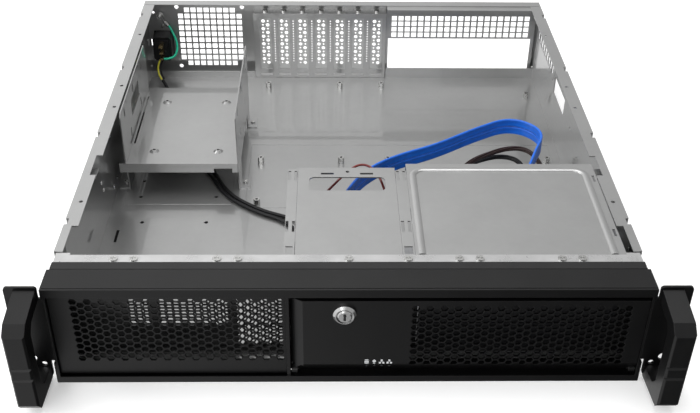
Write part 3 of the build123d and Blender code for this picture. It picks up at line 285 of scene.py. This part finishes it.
def front_sheet_painted_shade():
    """The front sheet: bare zinc on its top flange, with painted shade below it, dark where it stands
    behind the vents.
    """
    finish = Finish("front_sheet_painted_shade", metal=0.6, specular=0.4)
    split = finish.tree.nodes.new("ShaderNodeSeparateXYZ")
    finish.link(finish.where, split.inputs["Vector"])
    clouds = finish.noise(40, 4, 0.6)
    level = finish.tree.nodes.new("ShaderNodeMapRange")
    level.inputs["From Min"].default_value = FLANGE_START
    level.inputs["From Max"].default_value = FLANGE_FULL
    finish.link(split.outputs["Z"], level.inputs["Value"])
    painted_shade_mix = finish.tree.nodes.new("ShaderNodeMix")
    painted_shade_mix.data_type = "RGBA"
    finish.link(level.outputs["Result"], painted_shade_mix.inputs["Factor"])
    # Below the flange: near-black grey painted as shade. Above it: the bare zinc.
    finish.link(finish.ramp(clouds, [(0.3, 0.035), (0.7, 0.075)]), painted_shade_mix.inputs["A"])
    finish.link(finish.ramp(clouds, [(0.3, 0.46), (0.7, 0.54)]), painted_shade_mix.inputs["B"])
    finish.link(painted_shade_mix.outputs["Result"], finish.shader.inputs["Base Color"])
    finish.gloss(clouds, 0.24, 0.36)
    finish.bump(finish.noise(420, 3), 0.00005, 0.25)
    return finish.mat


def dress_cad():
    """Each CAD node takes the finish of its slot in the record, except the front wall, which takes the
    front sheet with its painted shade.
    """
    slots = {row["node"]: row["material_slot"] for row in frame["record"]["subparts"]}
    front = front_sheet_painted_shade()
    for name, node in NODES.items():
        node.data.materials.clear()
        node.data.materials.append(front if name == "front_wall" else MATS[slots[name]])


dress_cad()

# ---------------------------------------------------------------- leads

MAINS = [
    (-0.1983, 0.2251, 0.0090), (-0.1905, 0.2130, 0.0044), (-0.1840, 0.1835, 0.0030),
    (-0.1710, 0.1385, 0.0030), (-0.1510, 0.0935, 0.0030), (-0.1270, 0.0535, 0.0030),
    (-0.1100, 0.0120, 0.0030), (-0.0785, -0.0145, 0.0030), (-0.0538, -0.0252, 0.0030),
    (-0.0220, -0.0415, 0.0030), (0.0060, -0.0645, 0.0030), (0.0240, -0.0875, 0.0030),
    (0.0332, -0.1134, 0.0030), (0.0332, -0.1416, 0.0030), (0.0133, -0.1615, 0.0030),
    (-0.0149, -0.1615, 0.0030), (-0.0348, -0.1416, 0.0030), (-0.0348, -0.1134, 0.0030),
    (-0.0355, -0.0795, 0.0030), (-0.0390, -0.0535, 0.0030), (-0.0563, -0.0299, 0.0030),
    (-0.0805, -0.0187, 0.0030), (-0.1136, 0.0091, 0.0030), (-0.1315, 0.0515, 0.0030),
    (-0.1550, 0.0805, 0.0030), (-0.1760, 0.0965, 0.0030), (-0.1830, 0.1205, 0.0030),
]
EARTH = [
    (-0.1918, 0.2596, 0.0588), (-0.1866, 0.2560, 0.0505), (-0.1822, 0.2490, 0.0410),
    (-0.1834, 0.2410, 0.0325), (-0.1900, 0.2363, 0.0298), (-0.1967, 0.2359, 0.0300),
]
POWER_A = [
    (0.0920, -0.0815, 0.0380), (0.0880, -0.0435, 0.0410), (0.1040, -0.0055, 0.0460),
    (0.1400, 0.0185, 0.0480), (0.1680, 0.0245, 0.0470), (0.1790, -0.0055, 0.0440),
    (0.1720, -0.0415, 0.0400), (0.1640, -0.0711, 0.0380),
]
POWER_B = [
    (0.0840, -0.0815, 0.0340), (0.0800, -0.0415, 0.0350), (0.0980, -0.0015, 0.0380),
    (0.1340, 0.0205, 0.0400), (0.1610, 0.0165, 0.0400), (0.1620, -0.0175, 0.0380),
    (0.1520, -0.0455, 0.0360), (0.1480, -0.0713, 0.0340),
]
SIGNAL = [
    (-0.0220, -0.0895, 0.0680), (-0.0080, -0.0715, 0.0730), (0.0020, -0.0605, 0.0770),
    (0.0110, -0.0540, 0.0785), (0.0200, -0.0560, 0.0775), (0.0280, -0.0685, 0.0740),
    (0.0310, -0.0835, 0.0700),
]
SATA_PLAN = [
    (-0.0120, -0.1095), (0.0000, -0.0735), (0.0190, -0.0415), (0.0460, -0.0205), (0.0800, -0.0040),
    (0.1180, 0.0245), (0.1551, 0.0461), (0.1828, 0.0207), (0.1650, -0.0185), (0.1500, -0.0615),
]
SATA_WIDTH, SATA_THICK = 0.0076, 0.0024
SATA_LEVELS = {"sata_lead_a": 0.0642, "sata_lead_b": 0.0562}
MAINS_SIZE = 0.0034
EARTH_SIZE = 0.0024
POWER_SIZE = 0.0046
POWER_WIRES = 5
SIGNAL_SIZE = 0.0020
SLEEVE_REACH = 0.026
SLEEVE_WIDE, SLEEVE_NARROW = 0.0038, MAINS_SIZE / 2 + 0.0002


def link_object(name, data, body, finish):
    """A new piece that rides on a body and is painted with a finish."""
    piece = bpy.data.objects.new(name, data)
    bpy.context.scene.collection.objects.link(piece)
    data.materials.append(finish)
    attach(piece, body)
    return piece


def route(name, points):
    """One smooth spline with the route's points as its control points."""
    curve = bpy.data.curves.new(name, "CURVE")
    curve.dimensions = "3D"
    curve.resolution_u = 16
    spline = curve.splines.new("NURBS")
    spline.points.add(len(points) - 1)
    for point, place in zip(spline.points, points):
        point.co = (*place, 1)
    spline.order_u = 3
    spline.use_endpoint_u = True
    return curve


def round_lead(node, points, diameter, slot, paint=None, **facts):
    """A round lead in place of its CAD tube."""
    curve = route(node + "_cord", points)
    curve.bevel_depth = diameter / 2
    curve.bevel_resolution = 5
    curve.use_fill_caps = True
    piece = link_object(node + "_cord", curve, "chassis", MATS[paint or slot])
    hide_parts(node)
    return piece


def spline_line(points):
    """The points of the route's own smooth line."""
    probe = bpy.data.objects.new("probe", route("probe", points))
    bpy.context.scene.collection.objects.link(probe)
    mesh = bpy.data.meshes.new_from_object(probe)
    line = [v.co.copy() for v in mesh.vertices]
    bpy.data.meshes.remove(mesh)
    bpy.data.objects.remove(probe)
    return line


def flat_section(width, thick):
    """Half widths and thicknesses of a flat data lead: two round cores with a web between them."""
    section = []
    steps = 8
    core = thick / 2
    reach = width / 2 - core
    for side in (1, -1):
        for i in range(steps + 1):
            a = math.pi * (i / steps) - math.pi / 2
            section.append((side * (reach + core * math.cos(a)), side * core * math.sin(a)))
        section.append((side * reach * 0.45, side * core * 0.72))
        section.append((0, side * core * 0.55))
        section.append((-side * reach * 0.45, side * core * 0.72))
    return section


def flat_lead(node, level):
    """A flat data lead that stands on edge, swept along its route's smooth line."""
    line = spline_line([(x, y, level) for x, y in SATA_PLAN])
    section = flat_section(SATA_WIDTH, SATA_THICK)
    rings = []
    for i, place in enumerate(line):
        ahead = line[min(i + 1, len(line) - 1)] - line[max(i - 1, 0)]
        across = Vector((ahead.y, -ahead.x, 0)).normalized()
        rings.append([place + Vector((0, 0, up)) + across * out for up, out in section])
    piece = rings_mesh(node + "_cord", [rings], MATS["cable_blue"])
    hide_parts(node)
    return piece


def rings_mesh(name, loops, finish):
    """Closed tubes, each given as its rings of places."""
    mesh = bpy.data.meshes.new(name)
    shape = bmesh.new()
    for rings in loops:
        made = [[shape.verts.new(place) for place in ring] for ring in rings]
        count = len(made[0])
        for a, b in zip(made, made[1:]):
            for k in range(count):
                face = shape.faces.new((a[k], a[(k + 1) % count], b[(k + 1) % count], b[k]))
                face.smooth = True
        shape.faces.new(made[0][::-1])
        shape.faces.new(made[-1])
    bmesh.ops.recalc_face_normals(shape, faces=shape.faces)
    shape.to_mesh(mesh)
    shape.free()
    return link_object(name, mesh, "chassis", finish)


def axes_along(line, i):
    """Two directions square to the line at one of its points."""
    ahead = (line[min(i + 1, len(line) - 1)] - line[max(i - 1, 0)]).normalized()
    side = ahead.cross(Vector((0, 0, 1))).normalized()
    return side, side.cross(ahead).normalized()


def tube_rings(line, radius_at, centre_at=None, sides=12):
    """Rings square to the line, with a radius and, if asked, an offset for each of its points."""
    rings = []
    for i, place in enumerate(line):
        side, rise = axes_along(line, i)
        if centre_at:
            place = place + side * centre_at(i)[0] + rise * centre_at(i)[1]
        r = radius_at(i)
        turns = [2 * math.pi * k / sides for k in range(sides)]
        rings.append([place + side * (r * math.cos(t)) + rise * (r * math.sin(t)) for t in turns])
    return rings


def bundle(node, points, diameter, wires, slot, twist=1.2, **facts):
    """Several thin wires that lie round the lead's line with a slow twist."""
    line = spline_line(points)
    wire = diameter * 0.19
    reach = diameter / 2 - wire
    loops = []
    for w in range(wires):
        start = 2 * math.pi * w / wires

        def centre(i, start=start):
            turn = start + twist * 2 * math.pi * i / len(line)
            return reach * math.cos(turn), reach * math.sin(turn)
        loops.append(tube_rings(line, lambda i: wire, centre))
    loops.append(tube_rings(line, lambda i: reach * 0.62))
    piece = rings_mesh(node + "_cord", loops, MATS[slot])
    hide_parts(node)
    return piece


def sleeve(name, points, slot):
    """A moulded sleeve at the plug, resting on the floor and narrowing along the lead."""
    line = spline_line(points)[::-1]
    kept = [line[0]]
    gone = 0.0
    for a, b in zip(line, line[1:]):
        gone += (b - a).length
        kept.append(b)
        if gone > SLEEVE_REACH:
            break
    last = len(kept) - 1

    def radius(i):
        return SLEEVE_WIDE + (SLEEVE_NARROW - SLEEVE_WIDE) * i / last

    rested = [point + Vector((0, 0, radius(i) - MAINS_SIZE / 2)) for i, point in enumerate(kept)]
    rings = tube_rings(rested, radius, sides=20)
    return rings_mesh(name, [rings], MATS[slot])


def make_leads():
    """Every lead in place of its CAD tube, on the same route."""
    round_lead("mains_lead", MAINS, MAINS_SIZE, "cable_black", far_end="plug", stiffness="medium",
               with_pieces=[NODES["mains_plug"]])
    sleeve("mains_relief", MAINS, "black_plastic")
    round_lead("earth_wire", EARTH, EARTH_SIZE, "wire_green", far_end="object", stiffness="limp")
    for node, points, slot in (("power_lead_a", POWER_A, "cable_brown"),
                               ("power_lead_b", POWER_B, "cable_black")):
        bundle(node, points, POWER_SIZE, POWER_WIRES, slot, far_end="connector",
               with_pieces=[NODES["power_plugs"]])
    round_lead("signal_lead", SIGNAL, SIGNAL_SIZE, "wire_green", paint="cable_red", far_end="bare",
               stiffness="limp")
    for node, level in SATA_LEVELS.items():
        flat_lead(node, level)


make_leads()

# ---------------------------------------------------------------- printed marks on the door

INK_RISE = 0.0003
MARK_LEVEL = 0.0146
MARK_SIZE = 0.0021
MARK_PLACES = (0.0124, 0.0179, 0.0234, 0.0290)


def flat_mesh(name, outlines, place, finish):
    """Printed shapes on the door's face. Each outline is a closed loop in the face's own plane."""
    mesh = bpy.data.meshes.new(name)
    shape = bmesh.new()
    for outline in outlines:
        verts = [shape.verts.new(place + Vector((x, 0, z))) for x, z in outline]
        face = shape.faces.new(verts)
        face.normal_update()
        if face.normal.y > 0:
            face.normal_flip()
    shape.to_mesh(mesh)
    shape.free()
    return link_object(name, mesh, "door", finish)


def disc(x, z, rx, rz, steps=20):
    turns = [2 * math.pi * i / steps for i in range(steps)]
    return [(x + rx * math.cos(t), z + rz * math.sin(t)) for t in turns]


def bar(x0, z0, x1, z1):
    return [(x0, z0), (x1, z0), (x1, z1), (x0, z1)]


def make_marks():
    """Four generic pictograms over the indicator holes: drive, power, and two network signs."""
    ink = moulded("mark_ink", (0.50, 0.51, 0.52), 0.5)
    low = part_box("door")[0]
    y = low.y - INK_RISE
    z = low.z + MARK_LEVEL
    s = MARK_SIZE
    stack = [disc(0, 0.75 * s, 0.75 * s, 0.3 * s), bar(-0.75 * s, -0.65 * s, 0.75 * s, 0.28 * s),
             disc(0, -0.75 * s, 0.75 * s, 0.28 * s)]
    lamp = [[(0, 1.05 * s), (0.7 * s, 0.3 * s), (0.35 * s, -0.4 * s), (-0.35 * s, -0.4 * s),
             (-0.7 * s, 0.3 * s)],
            bar(-0.35 * s, -0.95 * s, 0.35 * s, -0.6 * s)]
    boxes = [bar(-0.35 * s, 0.25 * s, 0.35 * s, 0.95 * s), bar(-0.95 * s, -0.95 * s, -0.25 * s, -0.25 * s),
             bar(0.25 * s, -0.95 * s, 0.95 * s, -0.25 * s), bar(-0.07 * s, -0.1 * s, 0.07 * s, 0.25 * s),
             bar(-0.65 * s, -0.14 * s, 0.65 * s, 0.0), bar(-0.67 * s, -0.25 * s, -0.53 * s, -0.1 * s),
             bar(0.53 * s, -0.25 * s, 0.67 * s, -0.1 * s)]
    marks = (("mark_drive", stack), ("mark_power", lamp), ("mark_network_a", boxes),
             ("mark_network_b", boxes))
    for x, (name, outlines) in zip(MARK_PLACES, marks):
        flat_mesh(name, outlines, Vector((x, y, z)), ink)


make_marks()


KEYWAY_HALF, KEYWAY_DROP, KEYWAY_RISE, KEYWAY_DEPTH = 0.0008, 0.0029, 0.0031, 0.0005


def make_keyway_shade():
    """A black plane inside the key slot: painted shade for its dark inside."""
    low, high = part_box("lock_cylinder")
    middle = (low + high) / 2
    mesh = bpy.data.meshes.new("keyway_shade")
    y = low.y + KEYWAY_DEPTH
    outline = bar(-KEYWAY_HALF, -KEYWAY_DROP, KEYWAY_HALF, KEYWAY_RISE)
    mesh.from_pydata([(middle.x + x, y, middle.z + z) for x, z in outline], [], [(0, 1, 2, 3)])
    link_object("keyway_shade", mesh, "lock", MATS["black_plastic"])


make_keyway_shade()

# ---------------------------------------------------------------- studio

FLOOR_REACH = 8
FLOOR_DROP = 0.0002


def make_floor():
    """A plain pale floor."""
    mesh = bpy.data.meshes.new("floor")
    r = FLOOR_REACH
    mesh.from_pydata([(-r, -r, 0), (r, -r, 0), (r, r, 0), (-r, r, 0)], [], [(0, 1, 2, 3)])
    floor = bpy.data.objects.new("floor", mesh)
    bpy.context.scene.collection.objects.link(floor)
    floor.location.z = -FLOOR_DROP
    paper = Finish("paper", rough=0.9, specular=0.1)
    paper.paint(paper.noise(3, 3), [(0.3, 0.86), (0.7, 0.90)])
    paper.set("Emission Color", (1, 1, 1, 1)).set("Emission Strength", 0.25)
    mesh.materials.append(paper.mat)
    floor.visible_glossy = False


# Extent of the black card of painted shadow under the chassis.
SHADOW_CARD_HALF = 0.2125
SHADOW_CARD_FRONT, SHADOW_CARD_BACK = 0.045, 0.030


def make_painted_shadow_card():
    """A black card under the chassis: painted shadow, so that the holes in its floor read dark."""
    low, high = CAD_BOX
    front, back = low[1] + SHADOW_CARD_FRONT, high[1] - SHADOW_CARD_BACK
    corners = [(-SHADOW_CARD_HALF, front, 0), (SHADOW_CARD_HALF, front, 0), (SHADOW_CARD_HALF, back, 0), (-SHADOW_CARD_HALF, back, 0)]
    mesh = bpy.data.meshes.new("painted_shadow_card")
    mesh.from_pydata(corners, [], [(0, 1, 2, 3)])
    card = bpy.data.objects.new("painted_shadow_card", mesh)
    bpy.context.scene.collection.objects.link(card)
    card.location.z = -FLOOR_DROP / 2
    # Near-black: painted shadow on the floor beneath the chassis.
    mesh.materials.append(Finish("card", (0.01, 0.01, 0.01), rough=0.9, specular=0.1).mat)


def softbox(name, place, target, size, power):
    data = bpy.data.lights.new(name, "AREA")
    data.shape = "RECTANGLE"
    data.size, data.size_y = size
    data.energy = power
    lamp = bpy.data.objects.new(name, data)
    bpy.context.scene.collection.objects.link(lamp)
    lamp.location = place
    aim = Vector(target) - Vector(place)
    lamp.rotation_mode = "QUATERNION"
    lamp.rotation_quaternion = aim.to_track_quat("-Z", "Y")
    lamp.visible_camera = False


def make_sky():
    """Even studio light, a little brighter from the left below and dim from the right below."""
    world = bpy.data.worlds.new("studio")
    bpy.context.scene.world = world
    world.use_nodes = True
    tree = world.node_tree
    ground = tree.nodes["Background"]
    ground.inputs["Color"].default_value = (1, 1, 1, 1)
    where = tree.nodes.new("ShaderNodeTexCoord")
    split = tree.nodes.new("ShaderNodeSeparateXYZ")
    tree.links.new(where.outputs["Generated"], split.inputs["Vector"])

    def slope(axis, start, end, first=0.0, last=1.0):
        node = tree.nodes.new("ShaderNodeMapRange")
        node.interpolation_type = "SMOOTHSTEP"
        for socket, value in (("From Min", start), ("From Max", end), ("To Min", first), ("To Max", last)):
            node.inputs[socket].default_value = value
        tree.links.new(split.outputs[axis], node.inputs["Value"])
        return node.outputs["Result"]

    mix = tree.nodes.new("ShaderNodeMix")
    tree.links.new(slope("Z", -0.25, 0.15), mix.inputs["Factor"])
    tree.links.new(slope("X", -0.08, 0.10, 0.95, 0.10), mix.inputs["A"])
    tree.links.new(slope("X", -0.28, 0.28, 1.08, 0.50), mix.inputs["B"])
    tree.links.new(mix.outputs["Result"], ground.inputs["Strength"])


make_floor()
make_painted_shadow_card()
make_sky()
softbox("left_box", (-1.5, -0.35, 0.95), (0, 0.05, 0.03), (1.1, 0.9), 14)
softbox("top_box", (0.1, 0.35, 1.7), (0, 0.05, 0), (1.4, 1.0), 14)
softbox("front_box", (-0.5, -2.4, 1.6), (0, 0, 0.04), (2.0, 1.0), 16)
bpy.context.scene.view_settings.view_transform = "Standard"
